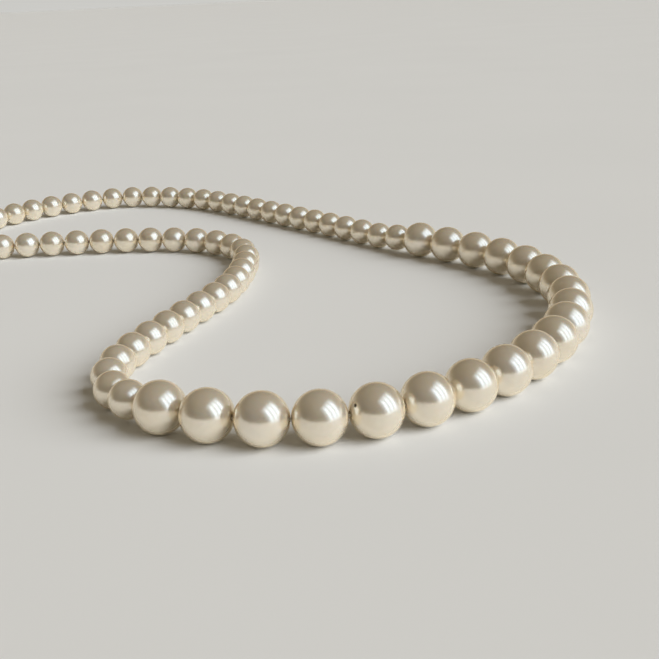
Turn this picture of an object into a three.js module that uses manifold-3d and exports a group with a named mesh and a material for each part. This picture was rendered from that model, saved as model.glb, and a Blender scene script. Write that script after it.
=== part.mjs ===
// A pearl necklace laid on a table with its clasp undone.
// A centre group of large pearls sits between two runs of smaller ones, all strung on one thread.
// Each end of the thread is held by a crimp inside a cup, and the clasp and a ring link on to the cups.
// Millimetres, +Z up. The table is z = 0, and the origin is the middle of the necklace on the table.
import * as THREE from 'three';
import { mergeVertices } from 'three/addons/utils/BufferGeometryUtils.js';
import Module from 'manifold-3d';

const wasm = await Module();
wasm.setup();

// ---- driving dimensions ----
const LARGE_PEARL_D = 8.0;
const SMALL_PEARL_D = 6.1;
const LARGE_PEARLS = 20;
const SMALL_PEARLS_PER_SIDE = 28;
const PEARL_GAP = 0.12;
const STEP_GAP = 0.36; // round the one small pearl that slopes down from the large ones
const BORE_D = 1.1;
const THREAD_D = 0.44;
const NECK_D = 1.9; // the neck that joins two small pearls of one link

// The strand's route over the table, from the clasp's end, round the front, to the ring's end.
const ROUTE = [
  [-58, 31], [-49, 33], [-38, 33.5], [-22, 33.5], [-10, 32.5], [2, 29], [11, 20], [14, 8], [12, -13],
  [5, -31.5], [-2, -50], [-3.5, -62], [2, -73.5], [14.5, -81.5], [30.5, -84], [46, -79], [58.5, -69.5],
  [66.5, -60], [72.5, -49.5], [77, -32], [74.5, -12.5], [65.5, 3.5], [49.5, 20.5], [32.5, 41.5],
  [17, 60], [4.5, 74.5], [-4.5, 83], [-16, 89], [-31, 91.5], [-48, 83.5], [-57.5, 74], [-64, 64],
  [-71, 55], [-81, 48], [-91, 44],
];

// thread cups and crimps, measured outwards from the last pearl
const CUP_MOUTH = 0.3;
const CUP_D = 3.4;
const CUP_BORE_D = 2.5;
const CUP_TIP = 3.6;
const EYE_CENTRE = 4.9;
const EYE_RING_D = 2.5; // middle of the eye's wire
const EYE_WIRE_D = 0.7;
const CRIMP_START = 0.8;
const CRIMP_LENGTH = 1.5;
const CRIMP_D = 1.9;
const THREAD_TAIL = 2.5;

// rings
const RING_D = 4.8; // middle of the wire
const RING_WIRE_D = 0.7;
const RING_SPLIT = 0.3;

// clasp
const CLASP_THICKNESS = 3.0;
const CLASP_BEVEL = 0.35;
const TAIL_HOLE_D = 2.3;
const TAIL_D = 3.8;
const TAIL_THICKNESS = 0.7;
const SLOT_WIDTH = 1.8;
const LEVER_THICKNESS = 1.2;
const PIN_D = 0.8;
const PIN_HOLE_D = 1.4;
const PIVOT = [3.2, 0.9];
const SPRING_WIRE_D = 0.32;

// facets
const LARGE_SIDES = 12;
const LARGE_RINGS = 6;
const SMALL_SIDES = 8;
const SMALL_RINGS = 6;
const WIRE_SIDES = 8;
const BORE_SIDES = 6;

const UP = new THREE.Vector3(0, 0, 1);

// ---- materials ----
function finish(color, roughness, metalness) {
  return new THREE.MeshStandardMaterial({ color, roughness, metalness });
}
const pearlFinish = () => finish(0xeee3cc, 0.22, 0.0);
const threadFinish = () => finish(0xf2ece0, 0.8, 0.0);
const silverFinish = () => finish(0xd8d8dc, 0.25, 1.0);

// ---- solids ----
function toSolid(geometry) {
  const bare = geometry.index ? geometry.toNonIndexed() : geometry.clone();
  bare.deleteAttribute('normal');
  bare.deleteAttribute('uv');
  const merged = mergeVertices(bare, 1e-4);
  const vertProperties = new Float32Array(merged.attributes.position.array);
  const corners = merged.index.array;
  const kept = [];
  for (let i = 0; i < corners.length; i += 3) {
    const [a, b, c] = [corners[i], corners[i + 1], corners[i + 2]];
    if (a !== b && b !== c && c !== a) kept.push(a, b, c);
  }
  return new wasm.Manifold(new wasm.Mesh({ numProp: 3, vertProperties, triVerts: new Uint32Array(kept) }));
}

function toGeometry(solid) {
  const { numProp, vertProperties, triVerts } = solid.getMesh();
  const positions = new Float32Array((vertProperties.length / numProp) * 3);
  for (let i = 0; i < positions.length / 3; i++) {
    for (let k = 0; k < 3; k++) positions[i * 3 + k] = vertProperties[i * numProp + k];
  }
  const geometry = new THREE.BufferGeometry();
  geometry.setAttribute('position', new THREE.BufferAttribute(positions, 3));
  geometry.setIndex(new THREE.BufferAttribute(new Uint32Array(triVerts), 1));
  return geometry;
}

function piece(name, geometry, material) {
  geometry.computeVertexNormals();
  const mesh = new THREE.Mesh(geometry, material);
  mesh.name = name;
  return mesh;
}

function lathe(profile, sides) {
  return new THREE.LatheGeometry(profile.map(([r, h]) => new THREE.Vector2(r, h)), sides);
}

// a wire of round section along a curve, closed at both ends
function wire(curve, diameter, steps) {
  const section = new THREE.Shape();
  for (let i = 0; i < WIRE_SIDES; i++) {
    const angle = (2 * Math.PI * i) / WIRE_SIDES;
    const x = (diameter / 2) * Math.cos(angle);
    const y = (diameter / 2) * Math.sin(angle);
    if (i === 0) section.moveTo(x, y);
    else section.lineTo(x, y);
  }
  return new THREE.ExtrudeGeometry(section, { steps, extrudePath: curve });
}

// ---- the strand's layout ----
// Each pearl lies between two bend points, and the strand bends at those points only.
function pearlSizes() {
  const side = Array(SMALL_PEARLS_PER_SIDE).fill(SMALL_PEARL_D);
  return [...side, ...Array(LARGE_PEARLS).fill(LARGE_PEARL_D), ...side];
}

function layStrand() {
  const sizes = pearlSizes();
  const route = new THREE.CatmullRomCurve3(ROUTE.map(([x, y]) => new THREE.Vector3(x, y, 0)), false, 'catmullrom', 0.5);
  const heights = [sizes[0], ...sizes].map((size, k) => Math.max(size, sizes[Math.min(k, sizes.length - 1)]) / 2);
  const onRoute = (t, height) => route.getPoint(t).setZ(height);
  const bends = [onRoute(0, heights[0])];
  const STRIDE = 0.0005;
  let t = 0;
  sizes.forEach((size, k) => {
    const slopes = heights[k] !== heights[k + 1];
    const pitch = size + (slopes ? STEP_GAP : PEARL_GAP);
    const start = bends[k];
    const reach = (at) => onRoute(at, heights[k + 1]).distanceTo(start);
    let low = t;
    let high = t;
    while (reach(high) < pitch) {
      low = high;
      high += STRIDE;
    }
    for (let i = 0; i < 40; i++) {
      const middle = (low + high) / 2;
      if (reach(middle) < pitch) low = middle;
      else high = middle;
    }
    t = high;
    bends.push(onRoute(t, heights[k + 1]));
  });
  return { sizes, bends };
}

// ---- pearls ----
function lieAlong(geometry, axis, centre) {
  const side = new THREE.Vector3().crossVectors(UP, axis).normalize();
  const third = new THREE.Vector3().crossVectors(side, axis);
  geometry.applyMatrix4(new THREE.Matrix4().makeBasis(side, axis, third).setPosition(centre));
  return geometry;
}

// One or more pearls in a row, as one drilled solid. start and end are the first and last pearl's numbers.
function strungPearls({ sizes, bends }, start, end) {
  let solid = null;
  const bores = [];
  for (let k = start; k <= end; k++) {
    const [from, to] = [bends[k], bends[k + 1]];
    const axis = to.clone().sub(from).normalize();
    const centre = from.clone().add(to).divideScalar(2);
    const large = sizes[k] === LARGE_PEARL_D;
    const ball = new THREE.SphereGeometry(sizes[k] / 2, large ? LARGE_SIDES : SMALL_SIDES, large ? LARGE_RINGS : SMALL_RINGS);
    const pearl = toSolid(lieAlong(ball, axis, centre));
    solid = solid ? solid.add(pearl) : pearl;
    const PAST = 0.1;
    const boreLength = from.distanceTo(to) + 2 * PAST;
    bores.push(toSolid(lieAlong(new THREE.CylinderGeometry(BORE_D / 2, BORE_D / 2, boreLength, BORE_SIDES), axis, centre)));
    if (k > start) {
      const neckAxis = to.clone().sub(bends[k - 1]).normalize();
      const NECK_LENGTH = 0.9;
      const neck = new THREE.CylinderGeometry(NECK_D / 2, NECK_D / 2, NECK_LENGTH, BORE_SIDES);
      solid = solid.add(toSolid(lieAlong(neck, neckAxis, from)));
    }
  }
  for (const bore of bores) solid = solid.subtract(bore);
  return toGeometry(solid);
}

// ---- thread ----
// A curve that passes straight from point to point, with a section at every point.
class Stringing extends THREE.Curve {
  constructor(points) {
    super();
    this.points = points;
  }

  getPoint(t) {
    const place = THREE.MathUtils.clamp(t, 0, 1) * (this.points.length - 1);
    const i = Math.min(Math.floor(place), this.points.length - 2);
    return this.points[i].clone().lerp(this.points[i + 1], place - i);
  }

  getPointAt(t) {
    return this.getPoint(t);
  }

  getTangentAt(t) {
    const NEAR = 0.25 / (this.points.length - 1);
    return this.getPoint(t + NEAR).sub(this.getPoint(t - NEAR)).normalize();
  }
}

function makeThread({ bends }) {
  const outwards = (end, next) => end.clone().sub(next).normalize().multiplyScalar(THREAD_TAIL).add(end);
  const last = bends.length - 1;
  const points = [outwards(bends[0], bends[1]), ...bends, outwards(bends[last], bends[last - 1])];
  return piece('stringing_thread', wire(new Stringing(points), THREAD_D, points.length - 1), threadFinish());
}

// ---- cups, crimps and rings; each is made along +X from the strand's end, at z = 0 ----
function alongX(geometry) {
  return geometry.rotateZ(-Math.PI / 2);
}

function cup(flatEye) {
  const inner = CUP_BORE_D / 2;
  const outer = CUP_D / 2;
  const profile = [
    [0, 2.9], [0.8, 2.75], [inner, 2.1], [inner, CUP_MOUTH], [outer, CUP_MOUTH], [outer, 2.2],
    [1.35, 3.0], [0.7, 3.5], [0, CUP_TIP],
  ];
  const dome = toSolid(alongX(lathe(profile, LARGE_SIDES)));
  const eye = new THREE.TorusGeometry(EYE_RING_D / 2, EYE_WIRE_D / 2, WIRE_SIDES, LARGE_SIDES);
  if (!flatEye) eye.rotateX(Math.PI / 2);
  eye.translate(EYE_CENTRE, 0, 0);
  return toGeometry(dome.add(toSolid(eye)));
}

function crimp() {
  const [inner, outer, end] = [BORE_D / 2, CRIMP_D / 2, CRIMP_START + CRIMP_LENGTH];
  const profile = [[inner, CRIMP_START], [outer, CRIMP_START], [outer, end], [inner, end], [inner, CRIMP_START]];
  return alongX(lathe(profile, WIRE_SIDES));
}

// A split ring round its own centre, in the XZ plane, with its split at the given angle.
function ring(splitAngle) {
  const radius = RING_D / 2;
  const gap = RING_SPLIT / radius;
  class Round extends THREE.Curve {
    getPoint(t) {
      const angle = splitAngle + gap / 2 + t * (2 * Math.PI - gap);
      return new THREE.Vector3(radius * Math.cos(angle), 0, radius * Math.sin(angle));
    }
  }
  const STEPS = 24;
  return wire(new Round(), RING_WIRE_D, STEPS);
}

// ---- clasp; made flat, with its tail's hole at x = y = 0 and its hook towards +X ----
function slab(shape, low, high, bevel = 0) {
  const CURVE_STEPS = 4;
  const geometry = new THREE.ExtrudeGeometry(shape, {
    depth: high - low - 2 * bevel,
    bevelEnabled: bevel > 0,
    bevelThickness: bevel,
    bevelSize: bevel,
    bevelOffset: -bevel,
    bevelSegments: 1,
    curveSegments: CURVE_STEPS,
  });
  return toSolid(geometry.translate(0, 0, low + bevel));
}

function block([x0, x1], [y0, y1], [z0, z1]) {
  const geometry = new THREE.BoxGeometry(x1 - x0, y1 - y0, z1 - z0);
  return toSolid(geometry.translate((x0 + x1) / 2, (y0 + y1) / 2, (z0 + z1) / 2));
}

function post(diameter, [x, y], [z0, z1]) {
  const geometry = new THREE.CylinderGeometry(diameter / 2, diameter / 2, z1 - z0, LARGE_SIDES);
  return geometry.rotateX(Math.PI / 2).translate(x, y, (z0 + z1) / 2);
}

function middleBand(thickness) {
  return [(CLASP_THICKNESS - thickness) / 2, (CLASP_THICKNESS + thickness) / 2];
}

function claspBody() {
  const hook = new THREE.Shape();
  hook.moveTo(1.4, -1.2);
  hook.bezierCurveTo(2.6, -2.4, 4.4, -3.3, 6.6, -3.3);
  hook.bezierCurveTo(9.4, -3.3, 11.2, -1.6, 11.2, 0.4);
  hook.bezierCurveTo(11.2, 2.0, 9.9, 3.2, 8.2, 3.3);
  hook.lineTo(8.1, 1.9);
  hook.bezierCurveTo(9.1, 1.7, 9.6, 1.1, 9.6, 0.2);
  hook.bezierCurveTo(9.6, -1.1, 8.6, -1.7, 7.2, -1.7);
  hook.lineTo(5.6, -1.7);
  hook.bezierCurveTo(5.0, -1.7, 4.7, -1.2, 4.7, -0.6);
  hook.lineTo(4.7, 1.4);
  hook.bezierCurveTo(4.5, 2.4, 3.4, 2.7, 2.6, 2.3);
  hook.lineTo(1.4, 1.2);
  hook.closePath();
  const tail = [
    [TAIL_HOLE_D / 2, -TAIL_THICKNESS / 2], [TAIL_D / 2, -TAIL_THICKNESS / 2],
    [TAIL_D / 2, TAIL_THICKNESS / 2], [TAIL_HOLE_D / 2, TAIL_THICKNESS / 2], [TAIL_HOLE_D / 2, -TAIL_THICKNESS / 2],
  ];
  const tailEye = lathe(tail, LARGE_SIDES).rotateX(Math.PI / 2).translate(0, 0, CLASP_THICKNESS / 2);
  const slot = block([1.9, 6.0], [-0.75, 4.0], middleBand(SLOT_WIDTH));
  const pinHole = toSolid(post(PIN_HOLE_D, PIVOT, [-1, CLASP_THICKNESS + 1]));
  return toGeometry(
    slab(hook, 0, CLASP_THICKNESS, CLASP_BEVEL).add(toSolid(tailEye)).subtract(slot).subtract(pinHole),
  );
}

function claspLever() {
  const lever = new THREE.Shape();
  lever.moveTo(2.3, 0.6);
  lever.bezierCurveTo(2.4, -0.2, 3.9, -0.3, 4.2, 0.5);
  lever.bezierCurveTo(4.8, 1.3, 6.0, 1.75, 7.75, 1.95);
  lever.lineTo(7.8, 3.0);
  lever.bezierCurveTo(6.4, 3.1, 5.2, 3.0, 4.1, 2.9);
  lever.bezierCurveTo(4.2, 3.6, 3.9, 4.2, 3.3, 4.3);
  lever.bezierCurveTo(2.7, 4.2, 2.7, 3.5, 2.9, 2.7);
  lever.bezierCurveTo(2.4, 2.2, 2.2, 1.4, 2.3, 0.6);
  const band = middleBand(LEVER_THICKNESS);
  const pinHole = toSolid(post(PIN_HOLE_D, PIVOT, [-1, CLASP_THICKNESS + 1]));
  return toGeometry(slab(lever, band[0], band[1]).subtract(pinHole));
}

function claspSpring() {
  const middle = CLASP_THICKNESS / 2;
  const leaf = [[2.2, -0.5], [3.0, -0.55], [3.8, -0.5], [4.5, -0.35], [5.0, 0.2], [5.2, 0.95]];
  const curve = new THREE.CatmullRomCurve3(leaf.map(([x, y]) => new THREE.Vector3(x, y, middle)));
  const STEPS = 10;
  return wire(curve, SPRING_WIRE_D, STEPS);
}

// ---- assembly ----
function place(mesh, position, heading, tilt = 0) {
  mesh.position.copy(position);
  mesh.rotation.set(0, tilt, heading, 'ZYX');
  return mesh;
}

function headingOf(direction) {
  return Math.atan2(direction.y, direction.x);
}

function ahead(from, heading, distance, height) {
  return new THREE.Vector3(
    from.x + distance * Math.cos(heading),
    from.y + distance * Math.sin(heading),
    height,
  );
}

function addPearls(group, strand) {
  const firstLarge = SMALL_PEARLS_PER_SIDE;
  const firstAfter = firstLarge + LARGE_PEARLS;
  const links = SMALL_PEARLS_PER_SIDE / 2;
  for (let i = 0; i < links; i++) {
    const name = `small_pearls_a${String(i + 1).padStart(2, '0')}`;
    group.add(piece(name, strungPearls(strand, 2 * i, 2 * i + 1), pearlFinish()));
  }
  for (let i = 0; i < LARGE_PEARLS; i++) {
    const name = `large_pearl_${String(i + 1).padStart(2, '0')}`;
    group.add(piece(name, strungPearls(strand, firstLarge + i, firstLarge + i), pearlFinish()));
  }
  for (let i = 0; i < links; i++) {
    const name = `small_pearls_b${String(i + 1).padStart(2, '0')}`;
    const first = firstAfter + 2 * i;
    group.add(piece(name, strungPearls(strand, first, first + 1), pearlFinish()));
  }
}

function addClaspEnd(group, end, heading) {
  group.add(place(piece('thread_cup_a', cup(true), silverFinish()), end, heading));
  group.add(place(piece('crimp_a', crimp(), silverFinish()), end, heading));
  // The ring stands on the table in a vertical plane, through the cup's flat eye and the clasp's tail.
  const radius = RING_D / 2;
  const ringHeight = radius + RING_WIRE_D / 2;
  const toEye = Math.sqrt(radius ** 2 - (end.z - ringHeight) ** 2);
  const toTail = Math.sqrt(radius ** 2 - (ringHeight - CLASP_THICKNESS / 2) ** 2);
  const ringCentre = ahead(end, heading, EYE_CENTRE + toEye, ringHeight);
  group.add(place(piece('jump_ring', ring(Math.PI / 2), silverFinish()), ringCentre, heading));
  const tail = ahead(ringCentre, heading, toTail, 0);
  group.add(place(piece('clasp_body', claspBody(), silverFinish()), tail, heading));
  group.add(place(piece('clasp_lever', claspLever(), silverFinish()), tail, heading));
  const pin = post(PIN_D, PIVOT, [0, CLASP_THICKNESS]);
  group.add(place(piece('clasp_pin', pin, silverFinish()), tail, heading));
  group.add(place(piece('clasp_spring', claspSpring(), silverFinish()), tail, heading));
}

function addRingEnd(group, end, heading) {
  group.add(place(piece('thread_cup_b', cup(false), silverFinish()), end, heading));
  group.add(place(piece('crimp_b', crimp(), silverFinish()), end, heading));
  // The ring leans from the cup's upright eye down to the table.
  const slope = Math.asin((end.z - RING_WIRE_D / 2) / RING_D);
  const radius = RING_D / 2;
  const centre = ahead(end, heading, EYE_CENTRE + radius * Math.cos(slope), end.z - radius * Math.sin(slope));
  const flat = ring(Math.PI / 2).rotateX(Math.PI / 2);
  group.add(place(piece('end_ring', flat, silverFinish()), centre, heading, slope));
}

function makeNecklace() {
  const group = new THREE.Group();
  const strand = layStrand();
  const { bends } = strand;
  const last = bends.length - 1;
  addPearls(group, strand);
  group.add(makeThread(strand));
  addClaspEnd(group, bends[0], headingOf(bends[0].clone().sub(bends[1])));
  addRingEnd(group, bends[last], headingOf(bends[last].clone().sub(bends[last - 1])));
  const middle = new THREE.Box3().setFromObject(group, true).getCenter(new THREE.Vector3());
  group.position.set(-middle.x, -middle.y, 0);
  return group;
}

const necklace = makeNecklace();
export default necklace;
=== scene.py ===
"""A pearl necklace with its clasp undone, laid on a pale table in soft window light."""
import math

import bmesh
import bpy
import numpy as np
from mathutils import Matrix, Vector


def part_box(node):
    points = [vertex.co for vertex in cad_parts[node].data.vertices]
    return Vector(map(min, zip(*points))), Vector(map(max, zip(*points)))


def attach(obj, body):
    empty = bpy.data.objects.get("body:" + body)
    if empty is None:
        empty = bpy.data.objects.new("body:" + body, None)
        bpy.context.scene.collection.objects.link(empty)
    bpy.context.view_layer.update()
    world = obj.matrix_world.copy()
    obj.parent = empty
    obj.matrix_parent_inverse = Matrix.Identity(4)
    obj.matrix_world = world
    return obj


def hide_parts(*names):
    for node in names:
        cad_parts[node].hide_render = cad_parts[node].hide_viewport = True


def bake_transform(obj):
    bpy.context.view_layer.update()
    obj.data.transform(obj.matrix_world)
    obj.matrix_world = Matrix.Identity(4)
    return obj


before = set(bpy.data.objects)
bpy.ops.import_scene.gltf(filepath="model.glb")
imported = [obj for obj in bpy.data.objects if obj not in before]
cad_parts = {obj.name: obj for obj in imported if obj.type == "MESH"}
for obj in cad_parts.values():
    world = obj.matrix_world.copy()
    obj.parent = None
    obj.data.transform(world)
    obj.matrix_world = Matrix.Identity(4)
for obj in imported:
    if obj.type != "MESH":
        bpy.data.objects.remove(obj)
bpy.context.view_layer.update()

MM = 0.001

# ---- the strand's sizes; the CAD part has the same ones, apart from a wider bore ----
LARGE_D = 8.0 * MM
SMALL_D = 6.1 * MM
LARGE_PEARLS = 20
SMALL_PER_SIDE = 28
PEARL_GAP = 0.12 * MM
STEP_GAP = 0.36 * MM
THREAD_D = 0.44 * MM
THREAD_TAIL = 2.5 * MM
BORE_D = 0.6 * MM
BORE_MOUTH = 0.08 * MM  # how far the bore's rounded mouth spreads
ROOT_PEARL = 10  # which large pearl the strand's bodies branch out from

# The strand's route over the table, in metres, from the clasp's end round the front to the ring's end.
ROUTE = [
    (-0.0580, 0.0310), (-0.0490, 0.0330), (-0.0380, 0.0335), (-0.0220, 0.0335), (-0.0100, 0.0325),
    (0.0020, 0.0290), (0.0110, 0.0200), (0.0140, 0.0080), (0.0120, -0.0130), (0.0050, -0.0315),
    (-0.0020, -0.0500), (-0.0035, -0.0620), (0.0020, -0.0735), (0.0145, -0.0815), (0.0305, -0.0840),
    (0.0460, -0.0790), (0.0585, -0.0695), (0.0665, -0.0600), (0.0725, -0.0495), (0.0770, -0.0320),
    (0.0745, -0.0125), (0.0655, 0.0035), (0.0495, 0.0205), (0.0325, 0.0415), (0.0170, 0.0600),
    (0.0045, 0.0745), (-0.0045, 0.0830), (-0.0160, 0.0890), (-0.0310, 0.0915), (-0.0480, 0.0835),
    (-0.0575, 0.0740), (-0.0640, 0.0640), (-0.0710, 0.0550), (-0.0810, 0.0480), (-0.0910, 0.0440),
]

# ---- how finely the strand is made ----
LARGE_SIDES = 80
LARGE_RINGS = 56
SMALL_SIDES = 64
SMALL_RINGS = 44
LIP_STEPS = 4
BORE_STEPS = 6
THREAD_SIDES = 12
THREAD_STEPS = 14  # along one pearl, or along one tail
PLIES = 2
PLY_DEPTH = 0.28  # of the thread's radius
PLY_TWIST = 5200.0  # radians of the grooves' phase in a metre

# ---- findings, in millimetres; the same places as in the CAD part ----
CUP_TIP = 3.6
EYE_CENTRE = 4.9
EYE_RING_D = 2.5
RING_D = 4.8
RING_WIRE_D = 0.7
RING_SPLIT = 0.3
CLASP_THICKNESS = 3.0
TAIL_RING_D = 3.05
TAIL_WIRE_D = 0.7
SLOT_WIDTH = 1.8
FLAT_INSET = 0.05  # how far the clasp body's flat sides lie inside its thickness
LEVER_THICKNESS = 1.2
PIN_D = 0.8
PIN_HOLE_D = 1.1
PIVOT = (3.2, 0.9)
SPRING_WIRE_D = 0.32
SPRING_LEAF = [(2.2, -0.5), (3.0, -0.55), (3.8, -0.5), (4.5, -0.35), (5.0, 0.2), (5.2, 0.95)]
SPRING_TIP = SPRING_LEAF[-1]
TO_METRES = Matrix.Scale(MM, 4)

# ---- a small pit in one pearl's coat, its dark inside painted as shade ----
PINHOLE_PEARL = 32  # counted from 0 at the clasp's end
PINHOLE_FACING = (-0.75, -0.50, 0.43)

# ---- camera ----
CAMERA_PLACE = (32.0 * MM, -208.0 * MM, 58.9 * MM)  # in the route's coordinates
CAMERA_TILT = 18.763  # degrees below the horizon
CAMERA_ROLL = -2.713
CAMERA_LENS = 53.713  # mm, on a 36 mm sensor

# ---- table, light and room ----
TABLE_REACH = 25.0
TABLE_DROP = 0.00002
WINDOW_TOWARDS = (0.754, -0.368, 0.545)
WINDOW_DISTANCE = 4.6
PANES = 3
PANE_SIZE = (1.28, 5.7)
WINDOW_BAR = 0.30
# A pane is brightest in its middle: it has layers, each with its share of the pane's size and its radiance.
PANE_LAYERS = [(1.0, 0.5), (0.8, 0.45), (0.6, 0.4)]
LAYER_STEP = 0.05
PANE_COLOUR = (0.60, 0.77, 1.0)
GLOW_SIZE = (6.6, 7.0)
GLOW_RADIANCE = 0.34
DAYLIGHT = 3.45
DAYLIGHT_COLOUR = (0.98, 0.99, 1.0)
DAYLIGHT_SPREAD = 50.0  # degrees
PALE = (0.60, 0.595, 0.57)
DIM = (0.195, 0.162, 0.112)
DARKEST = (0.122, 0.099, 0.068)
# The room's colours by height, from the table's level at 0 to overhead at 1.
ROOM_NEAR = [(0.0, PALE), (0.07, (0.5, 0.48, 0.43)), (0.14, (0.16, 0.13, 0.088)), (0.4, DARKEST), (1.0, DIM)]
ROOM_FAR = [(0.0, PALE), (0.09, (0.55, 0.52, 0.47)), (0.26, (0.34, 0.29, 0.21)), (0.45, DIM), (1.0, DIM)]
ROOM_CHANGE = 0.35  # how far to either side of the middle the near half runs over into the far one


# ================ the strand's layout ================
def catmull_rom(points, i, w):
    """The point a share w of the way from points[i] to the next, on the smooth curve through them all."""
    p1, p2 = points[i], points[i + 1]
    p0 = points[i - 1] if i > 0 else 2 * p1 - p2
    p3 = points[i + 2] if i + 2 < len(points) else 2 * p2 - p1
    t0, t1 = (p2 - p0) / 2, (p3 - p1) / 2
    return (2 * p1 - 2 * p2 + t0 + t1) * w**3 + (-3 * p1 + 3 * p2 - 2 * t0 - t1) * w**2 + t0 * w + p1


def on_route(t, height):
    """A point of the curve through the route; t is 0 at its first point and 1 at its last."""
    points = np.array(ROUTE)
    last = len(points) - 1
    s = t * last
    i = int(min(math.floor(s), last - 1))
    x, y = catmull_rom(points, i, s - i)
    return Vector((x, y, height))


def lay_strand():
    """Each pearl's diameter, the bend points, and how far the part lies from the route's coordinates.
    Pearl k lies between bends k and k + 1."""
    side = [SMALL_D] * SMALL_PER_SIDE
    sizes = side + [LARGE_D] * LARGE_PEARLS + side
    count = len(sizes)
    heights = [max(sizes[max(k - 1, 0)], sizes[min(k, count - 1)]) / 2 for k in range(count + 1)]
    bends = [on_route(0, heights[0])]
    stride = 0.0005
    halvings = 40
    t = 0
    for k, size in enumerate(sizes):
        pitch = size + (STEP_GAP if heights[k] != heights[k + 1] else PEARL_GAP)
        low = high = t
        while (on_route(high, heights[k + 1]) - bends[k]).length < pitch:
            low, high = high, high + stride
        for _ in range(halvings):
            middle = (low + high) / 2
            if (on_route(middle, heights[k + 1]) - bends[k]).length < pitch:
                low = middle
            else:
                high = middle
        t = high
        bends.append(on_route(t, heights[k + 1]))
    root = SMALL_PER_SIDE + ROOT_PEARL - 1
    lowest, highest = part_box(f"large_pearl_{ROOT_PEARL:02d}")
    shift = (lowest + highest) / 2 - (bends[root] + bends[root + 1]) / 2
    return sizes, [b + shift for b in bends], shift


def strand_bodies():
    """The CAD node and the body of every pearl, from the clasp's end to the ring's."""
    names = []
    for k in range(SMALL_PER_SIDE):
        names.append((f"small_pearls_a{k // 2 + 1:02d}", f"link_a{k // 2 + 1:02d}"))
    for k in range(LARGE_PEARLS):
        names.append((f"large_pearl_{k + 1:02d}", f"pearl_{k + 1:02d}"))
    for k in range(SMALL_PER_SIDE):
        names.append((f"small_pearls_b{k // 2 + 1:02d}", f"link_b{k // 2 + 1:02d}"))
    return names


# ================ meshes ================
def new_mesh(name, verts, faces, smooth=True):
    mesh = bpy.data.meshes.new(name)
    mesh.from_pydata([tuple(v) for v in verts], [], faces)
    mesh.update()
    if smooth:
        mesh.polygons.foreach_set("use_smooth", [True] * len(mesh.polygons))
    return mesh


def new_object(name, mesh, matrix=None):
    obj = bpy.data.objects.new(name, mesh)
    bpy.context.scene.collection.objects.link(obj)
    if matrix is not None:
        obj.matrix_world = matrix
    return obj


def revolve(profile, sides, closed):
    """Verts and faces of a profile of (along x, radius) points turned round the X axis.
    A closed profile joins its last point to its first; an open one starts and ends on the axis."""
    verts, faces, rows = [], [], []
    for x, r in profile:
        if r < 1e-9:
            rows.append([len(verts)] * sides)
            verts.append((x, 0, 0))
            continue
        rows.append(list(range(len(verts), len(verts) + sides)))
        for s in range(sides):
            angle = 2 * math.pi * s / sides
            verts.append((x, r * math.cos(angle), r * math.sin(angle)))
    pairs = list(zip(rows, rows[1:])) + ([(rows[-1], rows[0])] if closed else [])
    for a, b in pairs:
        for s in range(sides):
            n = (s + 1) % sides
            corners = [a[s], a[n], b[n], b[s]]
            kept = [c for i, c in enumerate(corners) if c != corners[i - 1]]
            if len(kept) >= 3:
                faces.append(kept)
    return verts, faces


def tube(centres, radius, sides, lobes=0, lobe_depth=0.0, twist=0.0, tip=0.6):
    """A tube along points, its ends closed with cones tip radii long.
    Lobes that twist along it make it look like plied thread."""
    centres = [Vector(c) for c in centres]
    count = len(centres)
    tangents = []
    for i in range(count):
        a, b = centres[max(i - 1, 0)], centres[min(i + 1, count - 1)]
        tangents.append((b - a).normalized())
    side = tangents[0].orthogonal().normalized()
    verts, faces = [], []
    along = 0.0
    for i, (c, t) in enumerate(zip(centres, tangents)):
        side = (side - t * side.dot(t)).normalized()
        up = t.cross(side)
        along += (c - centres[i - 1]).length if i else 0
        for s in range(sides):
            angle = 2 * math.pi * s / sides
            r = radius
            if lobes:
                r *= 1 - lobe_depth * (0.5 + 0.5 * math.cos(lobes * angle + twist * along))
            verts.append(c + (side * math.cos(angle) + up * math.sin(angle)) * r)
    for i in range(count - 1):
        for s in range(sides):
            n = (s + 1) % sides
            faces.append((i * sides + s, i * sides + n, (i + 1) * sides + n, (i + 1) * sides + s))
    for end, sign in ((0, -1), (count - 1, 1)):
        point = len(verts)
        verts.append(centres[end] + tangents[end] * sign * radius * tip)
        for s in range(sides):
            n = (s + 1) % sides
            a, b = end * sides + s, end * sides + n
            faces.append((a, b, point) if sign > 0 else (b, a, point))
    return verts, faces


def outward(mesh):
    """The mesh with its faces all turned outwards."""
    bm = bmesh.new()
    bm.from_mesh(mesh)
    bmesh.ops.recalc_face_normals(bm, faces=bm.faces)
    bm.to_mesh(mesh)
    bm.free()
    return mesh


def applied(obj):
    """The object with its modifiers made real."""
    graph = bpy.context.evaluated_depsgraph_get()
    mesh = bpy.data.meshes.new_from_object(obj.evaluated_get(graph))
    obj.modifiers.clear()
    obj.data = mesh
    return obj


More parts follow.
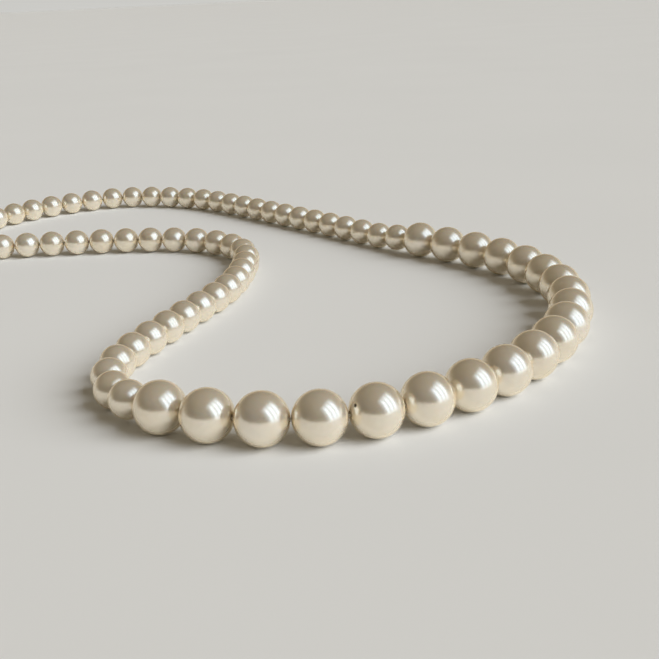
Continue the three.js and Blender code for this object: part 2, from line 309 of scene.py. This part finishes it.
# ================ pearls and thread ================
def pearl_mesh(name, diameter, sides, rings):
    """A drilled pearl round the origin with its bore along X."""
    r = diameter / 2
    bore = BORE_D / 2
    mouth = math.asin((bore + BORE_MOUTH) / r)
    profile = []
    for i in range(rings + 1):
        angle = mouth + (math.pi - 2 * mouth) * i / rings
        profile.append((-r * math.cos(angle), r * math.sin(angle)))
    lip_x = r * math.cos(mouth)
    for i in range(1, LIP_STEPS + 1):
        angle = math.pi / 2 * i / LIP_STEPS
        x = lip_x - BORE_MOUTH * (1 - math.cos(angle))
        profile.append((x, bore + BORE_MOUTH * (1 - math.sin(angle))))
    inner = lip_x - BORE_MOUTH
    for i in range(1, BORE_STEPS):
        profile.append((inner - 2 * inner * i / BORE_STEPS, bore))
    for i in range(LIP_STEPS, 0, -1):
        angle = math.pi / 2 * i / LIP_STEPS
        x = lip_x - BORE_MOUTH * (1 - math.cos(angle))
        profile.append((-x, bore + BORE_MOUTH * (1 - math.sin(angle))))
    return outward(new_mesh(name, *revolve(profile, sides, closed=True)))


def along(start, end):
    """A matrix whose X axis runs from start to end, at their middle, with Z as near up as it goes."""
    x = (end - start).normalized()
    y = Vector((0, 0, 1)).cross(x).normalized()
    z = x.cross(y)
    matrix = Matrix((x, y, z)).transposed().to_4x4()
    matrix.translation = (start + end) / 2
    return matrix


# ================ materials ================
def material(name):
    mat = bpy.data.materials.new(name)
    mat.use_nodes = True
    nodes = mat.node_tree.nodes
    nodes.clear()
    out = nodes.new("ShaderNodeOutputMaterial")
    shader = nodes.new("ShaderNodeBsdfPrincipled")
    mat.node_tree.links.new(shader.outputs[0], out.inputs[0])
    return mat, shader


def node(mat, kind, **values):
    made = mat.node_tree.nodes.new(kind)
    for key, value in values.items():
        if hasattr(made, key):
            setattr(made, key, value)
        else:
            made.inputs[key.replace("_", " ")].default_value = value
    return made


def link(mat, a, b):
    mat.node_tree.links.new(a, b)


def ramp(tree, source, stops):
    """A colour for each value of source, from (value, colour) stops."""
    made = tree.nodes.new("ShaderNodeValToRGB")
    elements = made.color_ramp.elements
    while len(elements) < len(stops):
        elements.new(0.5)
    for element, (place, colour) in zip(elements, stops):
        element.position = place
        element.color = (*colour, 1)
    tree.links.new(source, made.inputs[0])
    return made.outputs[0]


def bump(mat, shader, height, strength, distance):
    made = mat.node_tree.nodes.new("ShaderNodeBump")
    made.inputs["Strength"].default_value = strength
    made.inputs["Distance"].default_value = distance
    link(mat, height, made.inputs["Height"])
    link(mat, made.outputs[0], shader.inputs["Normal"])


def pearl_material():
    """Ivory pearl: a satin, gold-tinted mirror under a clear coat, each pearl clouded in its own way."""
    mat, shader = material("ivory_pearl")
    place = node(mat, "ShaderNodeTexCoord")
    info = node(mat, "ShaderNodeObjectInfo")
    own = node(mat, "ShaderNodeMath", operation="MULTIPLY")
    own.inputs[1].default_value = 40.0
    link(mat, info.outputs["Random"], own.inputs[0])
    cloud = node(mat, "ShaderNodeTexNoise", noise_dimensions="4D", Scale=170.0, Detail=3.0, Roughness=0.55)
    link(mat, place.outputs["Object"], cloud.inputs["Vector"])
    link(mat, own.outputs[0], cloud.inputs["W"])
    colour = ramp(mat.node_tree, cloud.outputs["Fac"], [
        (0.30, (0.93, 0.83, 0.66)),
        (0.50, (0.96, 0.875, 0.725)),
        (0.70, (0.97, 0.895, 0.77)),
    ])
    link(mat, colour, shader.inputs["Base Color"])
    gloss = node(mat, "ShaderNodeMapRange", To_Min=0.16, To_Max=0.22)
    link(mat, cloud.outputs["Fac"], gloss.inputs["Value"])
    link(mat, gloss.outputs[0], shader.inputs["Roughness"])
    shader.inputs["Metallic"].default_value = 0.74
    shader.inputs["Specular Tint"].default_value = (1.0, 0.90, 0.72, 1.0)
    shader.inputs["Coat Weight"].default_value = 0.5
    shader.inputs["Coat Roughness"].default_value = 0.09
    shader.inputs["Coat IOR"].default_value = 1.5
    shader.inputs["IOR"].default_value = 1.6
    shader.inputs["Subsurface Weight"].default_value = 0.15
    shader.inputs["Subsurface Radius"].default_value = (1.0, 0.7, 0.45)
    shader.inputs["Subsurface Scale"].default_value = 0.0012
    grain = node(mat, "ShaderNodeTexNoise", Scale=2600.0, Detail=2.0)
    link(mat, place.outputs["Object"], grain.inputs["Vector"])
    bump(mat, shader, grain.outputs["Fac"], 0.06, 0.00002)
    return mat


def thread_material():
    mat, shader = material("stringing_thread")
    place = node(mat, "ShaderNodeTexCoord")
    fibre = node(mat, "ShaderNodeTexNoise", Scale=9000.0, Detail=3.0)
    link(mat, place.outputs["Object"], fibre.inputs["Vector"])
    colour = ramp(mat.node_tree, fibre.outputs["Fac"], [(0.3, (0.72, 0.66, 0.55)), (0.7, (0.88, 0.84, 0.75))])
    link(mat, colour, shader.inputs["Base Color"])
    shader.inputs["Roughness"].default_value = 0.7
    shader.inputs["Sheen Weight"].default_value = 0.4
    bump(mat, shader, fibre.outputs["Fac"], 0.5, 0.00003)
    return mat


def silver_material():
    """Polished silver plate with fine scuffs, in random patches that differ in tone and in gloss."""
    mat, shader = material("silver_plate")
    place = node(mat, "ShaderNodeTexCoord")
    patch = node(mat, "ShaderNodeTexNoise", Scale=420.0, Detail=4.0)
    link(mat, place.outputs["Object"], patch.inputs["Vector"])
    colour = ramp(mat.node_tree, patch.outputs["Fac"], [(0.3, (0.70, 0.69, 0.67)), (0.7, (0.86, 0.85, 0.83))])
    link(mat, colour, shader.inputs["Base Color"])
    shader.inputs["Metallic"].default_value = 1.0
    gloss = node(mat, "ShaderNodeMapRange", To_Min=0.12, To_Max=0.30)
    link(mat, patch.outputs["Fac"], gloss.inputs["Value"])
    link(mat, gloss.outputs[0], shader.inputs["Roughness"])
    scuff = node(mat, "ShaderNodeTexNoise", Scale=5200.0, Detail=2.0)
    link(mat, place.outputs["Object"], scuff.inputs["Vector"])
    bump(mat, shader, scuff.outputs["Fac"], 0.12, 0.00002)
    return mat


def table_material():
    mat, shader = material("pale_table")
    place = node(mat, "ShaderNodeTexCoord")
    tone = node(mat, "ShaderNodeTexNoise", Scale=9.0, Detail=3.0)
    link(mat, place.outputs["Object"], tone.inputs["Vector"])
    stops = [(0.3, (0.779, 0.789, 0.785)), (0.7, (0.793, 0.803, 0.799))]
    colour = ramp(mat.node_tree, tone.outputs["Fac"], stops)
    link(mat, colour, shader.inputs["Base Color"])
    shader.inputs["Roughness"].default_value = 0.9
    shader.inputs["Specular IOR Level"].default_value = 0.2
    return mat


def painted_pit_shade_material():
    """Painted shade: the dark, speckled inside of a small pit in a pearl's coat."""
    mat, shader = material("painted_pit_shade")
    place = node(mat, "ShaderNodeTexCoord")
    speckle = node(mat, "ShaderNodeTexNoise", Scale=6000.0, Detail=2.0)
    link(mat, place.outputs["Object"], speckle.inputs["Vector"])
    stops = [(0.35, (0.05, 0.035, 0.025)), (0.65, (0.12, 0.08, 0.05))]
    colour = ramp(mat.node_tree, speckle.outputs["Fac"], stops)
    link(mat, colour, shader.inputs["Base Color"])
    shader.inputs["Roughness"].default_value = 0.6
    return mat


PEARL = pearl_material()
# painted shade for the inside of the pit in one pearl
PAINTED_PIT_SHADE = painted_pit_shade_material()
THREAD = thread_material()
SILVER = silver_material()


def dress(obj, mat, slot, body, *replaced):
    """Gives a piece its look and the CAD nodes it replaces; it rides on body, if one is given. slot is not
    used.
    """
    obj.data.materials.clear()
    obj.data.materials.append(mat)
    if body:
        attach(obj, body)
    if replaced:
        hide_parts(*replaced)
    return obj


# ================ pieces ================
def make_pearls(sizes, bends):
    large = pearl_mesh("large_pearl_shape", LARGE_D, LARGE_SIDES, LARGE_RINGS)
    small = pearl_mesh("small_pearl_shape", SMALL_D, SMALL_SIDES, SMALL_RINGS)
    for k, (cad_node, body) in enumerate(strand_bodies()):
        mesh = large if sizes[k] == LARGE_D else small
        pearl = new_object(f"pearl_{k + 1:02d}", mesh, along(bends[k], bends[k + 1]))
        dress(pearl, PEARL, "pearl", body, cad_node)


def plied(points):
    """Two plies twisted together along points."""
    return tube(points, THREAD_D / 2, THREAD_SIDES, lobes=PLIES, lobe_depth=PLY_DEPTH, twist=PLY_TWIST)


def make_thread(bends):
    """A length of thread for each body, so that the thread bends where the strand does."""
    names = strand_bodies()
    first = 0
    while first < len(names):
        body = names[first][1]
        last = first
        while last + 1 < len(names) and names[last + 1][1] == body:
            last += 1
        corners = bends[first:last + 2]
        points = []
        for a, b in zip(corners, corners[1:]):
            points += [a.lerp(b, i / THREAD_STEPS) for i in range(THREAD_STEPS)]
        points.append(corners[-1])
        thread = new_object(f"thread_{body}", outward(new_mesh(f"thread_{body}", *plied(points))))
        replaced = ["stringing_thread"] if body == f"pearl_{ROOT_PEARL:02d}" else []
        dress(thread, THREAD, "thread", body, *replaced)
        first = last + 1


# ================ cups, rings and clasp, made in millimetres ================
def bezier(a, b, c, d, steps=10):
    """The points of a cubic curve after its first."""
    points = []
    for i in range(1, steps + 1):
        t = i / steps
        u = 1 - t
        points.append(tuple(
            u**3 * a[n] + 3 * u * u * t * b[n] + 3 * u * t * t * c[n] + t**3 * d[n] for n in range(2)
        ))
    return points


def outline(start, *moves):
    """A closed outline; a move is the end of a straight side, or two handles and the end of a curve."""
    points = [start]
    for move in moves:
        points += [move[0]] if len(move) == 1 else bezier(points[-1], *move)
    return points[:-1] if math.dist(points[0], points[-1]) < 1e-6 else points


def slab(points, low, high):
    """An outline made solid between two heights."""
    count = len(points)
    verts = [(x, y, low) for x, y in points] + [(x, y, high) for x, y in points]
    faces = [tuple(reversed(range(count))), tuple(range(count, 2 * count))]
    faces += [(i, (i + 1) % count, (i + 1) % count + count, i + count) for i in range(count)]
    return verts, faces


def disc_outline(centre, diameter, sides=32):
    angles = [2 * math.pi * i / sides for i in range(sides)]
    return [(centre[0] + diameter / 2 * math.cos(a), centre[1] + diameter / 2 * math.sin(a)) for a in angles]


def hoop(diameter, wire, split=0.0, upright=False, centre_x=0.0):
    """A ring of round wire; split is the gap between its ends."""
    radius = diameter / 2
    steps = 72
    start = math.pi / 2 + split / diameter
    sweep = 2 * math.pi - 2 * split / diameter
    points = []
    for i in range(steps + 1):
        angle = start + sweep * i / steps
        across, side = radius * math.cos(angle), radius * math.sin(angle)
        points.append((centre_x + across, 0, side) if upright else (centre_x + across, side, 0))
    return tube(points, wire / 2, 20, tip=0.12)


def cut_from(shape, cutters):
    """The verts and faces of a closed shape with others taken out of it."""
    target = new_object("cut_target", outward(new_mesh("cut_target", *shape, smooth=False)))
    helpers = []
    for verts, faces in cutters:
        helper = new_object("cutter", outward(new_mesh("cutter", verts, faces, smooth=False)))
        modifier = target.modifiers.new("cut", "BOOLEAN")
        modifier.operation = "DIFFERENCE"
        modifier.solver = "EXACT"
        modifier.object = helper
        helpers.append(helper)
    mesh = applied(target).data
    verts = [tuple(v.co) for v in mesh.vertices]
    faces = [tuple(p.vertices) for p in mesh.polygons]
    for obj in helpers + [target]:
        bpy.data.objects.remove(obj)
    return verts, faces


def cast(name, shapes, grain, rounding):
    """Several closed shapes melted into one, its edges rounded as polishing leaves them."""
    verts, faces = [], []
    for more_verts, more_faces in shapes:
        first = len(verts)
        verts += [tuple(v) for v in more_verts]
        faces += [tuple(i + first for i in face) for face in more_faces]
    obj = new_object(name, outward(new_mesh(name, verts, faces)))
    remesh = obj.modifiers.new("melt", "REMESH")
    remesh.mode = "VOXEL"
    remesh.voxel_size = grain
    remesh.use_smooth_shade = True
    polish = obj.modifiers.new("polish", "SMOOTH")
    polish.factor = 0.5
    polish.iterations = rounding
    mesh = applied(obj).data
    bpy.data.objects.remove(obj)
    mesh.name = name
    mesh.transform(TO_METRES)
    return mesh


def plain(name, verts, faces):
    """A mesh in metres from verts in millimetres."""
    mesh = outward(new_mesh(name, verts, faces))
    mesh.transform(TO_METRES)
    return mesh


def cup_mesh(name, upright):
    """A cup that swallows the thread's end, open towards the pearls, with an eye on its neck."""
    dome = revolve([
        (2.95, 0), (2.9, 0.5), (2.65, 0.95), (2.2, 1.25), (1.2, 1.3), (0.62, 1.3), (0.42, 1.38),
        (0.34, 1.5), (0.42, 1.63), (0.58, 1.68), (0.74, 1.62), (0.9, 1.56), (1.5, 1.62), (2.0, 1.6),
        (2.12, 1.66), (2.26, 1.64), (2.38, 1.5), (2.8, 1.36), (3.2, 0.98), (3.45, 0.6), (CUP_TIP, 0),
    ], 64, closed=False)
    collar = revolve([(3.3, 0), (3.35, 0.55), (3.6, 0.52), (3.8, 0.36), (3.95, 0)], 32, closed=False)
    return cast(name, [dome, collar, hoop(EYE_RING_D, 0.66, upright=upright, centre_x=EYE_CENTRE)], 0.055, 3)


def crimp_mesh(name):
    """A short tube pinched to a waist on the thread."""
    profile = [(0.8, 0.5), (0.8, 0.82), (0.88, 0.92), (1.1, 0.93), (1.55, 0.8), (2.0, 0.93), (2.22, 0.92),
               (2.3, 0.82), (2.3, 0.5), (1.55, 0.44)]
    return plain(name, *revolve(profile, 40, closed=True))


def pin_bore():
    """What the pin's hole takes out of the body and the lever, longer than they are thick."""
    return slab(disc_outline(PIVOT, PIN_HOLE_D), -1, CLASP_THICKNESS + 1)


def clasp_mesh():
    """A hook with a lever's slot and a tail ring, all in one."""
    hook = outline(
        (1.4, -1.2),
        ((2.6, -2.4), (4.4, -3.25), (6.6, -3.25)),
        ((9.4, -3.25), (11.15, -1.6), (11.15, 0.4)),
        ((11.15, 2.0), (9.9, 3.2), (8.25, 3.25)),
        ((8.1, 1.95),),
        ((9.1, 1.7), (9.6, 1.1), (9.6, 0.2)),
        ((9.6, -1.1), (8.6, -1.7), (7.2, -1.7)),
        ((5.6, -1.7),),
        ((5.0, -1.7), (4.7, -1.2), (4.7, -0.6)),
        ((4.7, 1.4),),
        ((4.5, 2.4), (3.4, 2.7), (2.6, 2.3)),
        ((1.4, 1.2),),
    )
    middle = CLASP_THICKNESS / 2
    slot_sides = [(1.9, -0.75), (6.0, -0.75), (6.0, 4.0), (1.9, 4.0)]
    slot = slab(slot_sides, middle - SLOT_WIDTH / 2, middle + SLOT_WIDTH / 2)
    body = cut_from(slab(hook, FLAT_INSET, CLASP_THICKNESS - FLAT_INSET), [slot, pin_bore()])
    verts, faces = hoop(TAIL_RING_D, TAIL_WIRE_D)
    tail = ([(x, y, z + middle) for x, y, z in verts], faces)
    return cast("clasp_body_shape", [body, tail], 0.065, 12)


def lever_mesh():
    """A gate across the hook's mouth, with a thumb piece above the pivot."""
    lever = outline(
        (2.3, 0.6),
        ((2.4, -0.2), (3.9, -0.3), (4.2, 0.5)),
        ((4.8, 1.3), (6.0, 1.75), (7.75, 1.95)),
        ((7.8, 3.0),),
        ((6.4, 3.1), (5.2, 3.0), (4.1, 2.9)),
        ((4.2, 3.6), (3.9, 4.2), (3.3, 4.3)),
        ((2.7, 4.2), (2.7, 3.5), (2.9, 2.7)),
        ((2.4, 2.2), (2.2, 1.4), (2.3, 0.6)),
    )
    low, high = (CLASP_THICKNESS - LEVER_THICKNESS) / 2, (CLASP_THICKNESS + LEVER_THICKNESS) / 2
    return cast("clasp_lever_shape", [cut_from(slab(lever, low, high), [pin_bore()])], 0.05, 4)


def pin_mesh():
    """A rivet with low domed heads, standing at the pivot."""
    r, top = PIN_D / 2, CLASP_THICKNESS
    head = [(0, 0), (0.03, 0.22), (0.1, 0.34), (0.2, r), (0.32, 0.385)]
    profile = head + [(top - x, radius) for x, radius in reversed(head)]
    verts, faces = revolve(profile, 32, closed=False)
    return plain("clasp_pin_shape", [(PIVOT[0] + y, PIVOT[1] + z, x) for x, y, z in verts], faces)


def spring_mesh():
    """A bent leaf of wire, in the clasp's middle plane."""
    leaf = np.array(SPRING_LEAF)
    points = []
    for i in range(len(leaf) - 1):
        for w in (0, 0.25, 0.5, 0.75):
            points.append((*catmull_rom(leaf, i, w), CLASP_THICKNESS / 2))
    points.append((*SPRING_TIP, CLASP_THICKNESS / 2))
    return plain("clasp_spring_shape", *tube(points, SPRING_WIRE_D / 2, 16))


def placed(position, heading, tilt=0.0):
    """Turned down by tilt, then towards heading, then moved to a position in metres."""
    turn = Matrix.Rotation(heading, 4, "Z") @ Matrix.Rotation(tilt, 4, "Y")
    return Matrix.Translation(position) @ turn


def set_down(name, mesh, matrix):
    """An object whose turn is in its mesh, so that its box is as small as it can be."""
    mesh.transform(matrix.to_3x3().to_4x4())
    return new_object(name, mesh, Matrix.Translation(matrix.translation))


def ahead(start, heading, distance, height):
    """The point a distance in millimetres ahead of start, at a height in millimetres."""
    return Vector((
        start.x + distance * MM * math.cos(heading),
        start.y + distance * MM * math.sin(heading),
        height * MM,
    ))


def thread_tail(name, end, beyond, body):
    """The thread's end, from the last pearl into the cup and through the crimp."""
    direction = (end - beyond).normalized()
    points = [end + direction * THREAD_TAIL * i / THREAD_STEPS for i in range(-1, THREAD_STEPS + 1)]
    dress(new_object(name, outward(new_mesh(name, *plied(points)))), THREAD, "thread", body)


def make_clasp_end(end, beyond):
    direction = end - beyond
    heading = math.atan2(direction.y, direction.x)
    at_end = placed(end, heading)
    cup = set_down("cup_a", cup_mesh("cup_a_shape", False), at_end)
    dress(cup, SILVER, "silver", "cup_a", "thread_cup_a")
    crimp = set_down("crimp_on_a", crimp_mesh("crimp_a_shape"), at_end)
    dress(crimp, SILVER, "silver", "cup_a", "crimp_a")
    thread_tail("thread_tail_a", end, beyond, "cup_a")
    radius = RING_D / 2
    height = radius + RING_WIRE_D / 2
    to_eye = math.sqrt(radius**2 - (end.z / MM - height) ** 2)
    to_tail = math.sqrt(radius**2 - (height - CLASP_THICKNESS / 2) ** 2)
    centre = ahead(end, heading, EYE_CENTRE + to_eye, height)
    shape = plain("jump_ring_shape", *hoop(RING_D, RING_WIRE_D, RING_SPLIT, upright=True))
    ring = set_down("ring_a", shape, placed(centre, heading))
    dress(ring, SILVER, "silver", "clasp_ring", "jump_ring")
    at_tail = placed(ahead(centre, heading, to_tail, 0), heading)
    dress(set_down("clasp", clasp_mesh(), at_tail), SILVER, "silver", "clasp", "clasp_body")
    dress(set_down("lever", lever_mesh(), at_tail), SILVER, "silver", "lever", "clasp_lever")
    dress(set_down("pin", pin_mesh(), at_tail), SILVER, "silver", "clasp", "clasp_pin")
    # The leaf rides on no body; its turn and place are baked into its mesh.
    spring = set_down("spring", spring_mesh(), at_tail)
    dress(spring, SILVER, "silver", None, "clasp_spring")
    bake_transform(spring)


def make_ring_end(end, beyond):
    direction = end - beyond
    heading = math.atan2(direction.y, direction.x)
    at_end = placed(end, heading)
    cup = set_down("cup_b", cup_mesh("cup_b_shape", True), at_end)
    dress(cup, SILVER, "silver", "cup_b", "thread_cup_b")
    crimp = set_down("crimp_on_b", crimp_mesh("crimp_b_shape"), at_end)
    dress(crimp, SILVER, "silver", "cup_b", "crimp_b")
    thread_tail("thread_tail_b", end, beyond, "cup_b")
    radius = RING_D / 2
    slope = math.asin((end.z / MM - RING_WIRE_D / 2) / RING_D)
    reach, drop = radius * math.cos(slope), radius * math.sin(slope)
    centre = ahead(end, heading, EYE_CENTRE + reach, end.z / MM - drop)
    shape = plain("end_ring_shape", *hoop(RING_D, RING_WIRE_D, RING_SPLIT))
    ring = set_down("end_ring_b", shape, placed(centre, heading, slope))
    dress(ring, SILVER, "silver", "ring_b", "end_ring")


def make_pinhole(bends):
    """A small pit in one large pearl's coat, with a raised lip; its dark inside is painted shade on a disc
    just proud of the surface.
    """
    middle = (bends[PINHOLE_PEARL] + bends[PINHOLE_PEARL + 1]) / 2
    body = strand_bodies()[PINHOLE_PEARL][1]
    facing = Vector(PINHOLE_FACING).normalized()
    r = LARGE_D / 2
    rise = 0.006 * MM
    profile = [(r + rise, 0), (r + rise, 0.11 * MM), (r + 2.5 * rise, 0.17 * MM), (r + rise, 0.24 * MM),
               (r - 3 * rise, 0.27 * MM), (r - 6 * rise, 0)]
    verts, faces = revolve(profile, 24, closed=False)
    turn = facing.to_track_quat("X", "Z").to_matrix().to_4x4()
    mesh = outward(new_mesh("pinhole", verts, faces))
    pit_shade_disc = new_object("pinhole", mesh, Matrix.Translation(middle) @ turn)
    dress(pit_shade_disc, PAINTED_PIT_SHADE, "pearl", body)


sizes, bends, shift = lay_strand()
make_pearls(sizes, bends)
make_pinhole(bends)
make_thread(bends)
make_clasp_end(bends[0], bends[1])
make_ring_end(bends[-1], bends[-2])


# ================ stage, light and camera ================
def make_table():
    mesh = bpy.data.meshes.new("table")
    bm = bmesh.new()
    bmesh.ops.create_grid(bm, x_segments=1, y_segments=1, size=TABLE_REACH)
    bm.to_mesh(mesh)
    bm.free()
    table = new_object("table", mesh, Matrix.Translation((0, 0, -TABLE_DROP)))
    table.data.materials.append(table_material())


def make_light(name, kind, colour, energy, matrix):
    data = bpy.data.lights.new(name, kind)
    data.color = colour
    data.energy = energy
    light = bpy.data.objects.new(name, data)
    bpy.context.scene.collection.objects.link(light)
    light.matrix_world = matrix
    return light


def make_pane(name, size, radiance, matrix):
    """A rectangle of light with a given radiance, which shows only in what is glossy."""
    pane = make_light(name, "AREA", PANE_COLOUR, radiance * math.pi * size[0] * size[1], matrix)
    pane.data.shape = "RECTANGLE"
    pane.data.size, pane.data.size_y = size
    pane.visible_diffuse = False


def make_window():
    """A tall window to the right, a little towards the camera: its panes and the bright wall round them
    show in the pearls, and broad daylight from the same side falls on everything matt."""
    towards = Vector(WINDOW_TOWARDS).normalized()
    turn = towards.to_track_quat("Z", "Y").to_matrix().to_4x4()
    at_window = Matrix.Translation(towards * WINDOW_DISTANCE) @ turn
    for i in range(PANES):
        offset = (i - (PANES - 1) / 2) * (PANE_SIZE[0] + WINDOW_BAR)
        for layer, (share, radiance) in enumerate(PANE_LAYERS):
            size = (PANE_SIZE[0] * share, PANE_SIZE[1] * share)
            in_front = Matrix.Translation((offset, 0, LAYER_STEP * layer))
            make_pane(f"window_{i}_{layer}", size, radiance, at_window @ in_front)
    make_pane("window_wall", GLOW_SIZE, GLOW_RADIANCE, at_window @ Matrix.Translation((0, 0, -LAYER_STEP)))
    daylight = make_light("daylight", "SUN", DAYLIGHT_COLOUR, DAYLIGHT, turn)
    daylight.data.angle = math.radians(DAYLIGHT_SPREAD)
    daylight.visible_glossy = False


def make_world():
    """A dim, warm room with a pale band all round at the height of the table, brighter on the far side."""
    world = bpy.data.worlds.new("room")
    bpy.context.scene.world = world
    world.use_nodes = True
    tree = world.node_tree
    nodes, links = tree.nodes, tree.links
    nodes.clear()
    out = nodes.new("ShaderNodeOutputWorld")
    background = nodes.new("ShaderNodeBackground")
    place = nodes.new("ShaderNodeTexCoord")
    split = nodes.new("ShaderNodeSeparateXYZ")
    links.new(place.outputs["Generated"], split.inputs[0])
    mix = nodes.new("ShaderNodeMix")
    mix.data_type = "RGBA"
    colours = {s.identifier: s for s in mix.inputs if s.type == "RGBA"}
    for side, stops in (("A", ROOM_NEAR), ("B", ROOM_FAR)):
        links.new(ramp(tree, split.outputs["Z"], stops), colours[f"{side}_Color"])
    far = nodes.new("ShaderNodeMapRange")
    far.inputs["From Min"].default_value = -ROOM_CHANGE
    far.inputs["From Max"].default_value = ROOM_CHANGE
    links.new(split.outputs["Y"], far.inputs["Value"])
    links.new(far.outputs[0], mix.inputs[0])
    result = next(s for s in mix.outputs if s.type == "RGBA")
    links.new(result, background.inputs["Color"])
    links.new(background.outputs[0], out.inputs[0])


def make_camera():
    data = bpy.data.cameras.new("camera")
    data.sensor_width = 36.0
    data.lens = CAMERA_LENS
    data.clip_start = 0.01
    data.clip_end = 60.0
    camera = bpy.data.objects.new("camera", data)
    bpy.context.scene.collection.objects.link(camera)
    tilt = Matrix.Rotation(math.radians(90 - CAMERA_TILT), 4, "X")
    roll = Matrix.Rotation(math.radians(CAMERA_ROLL), 4, "Z")
    camera.matrix_world = Matrix.Translation(shift + Vector(CAMERA_PLACE)) @ tilt @ roll
    bpy.context.scene.camera = camera


make_table()
make_window()
make_world()
make_camera()
bpy.context.scene.view_settings.view_transform = "Standard"
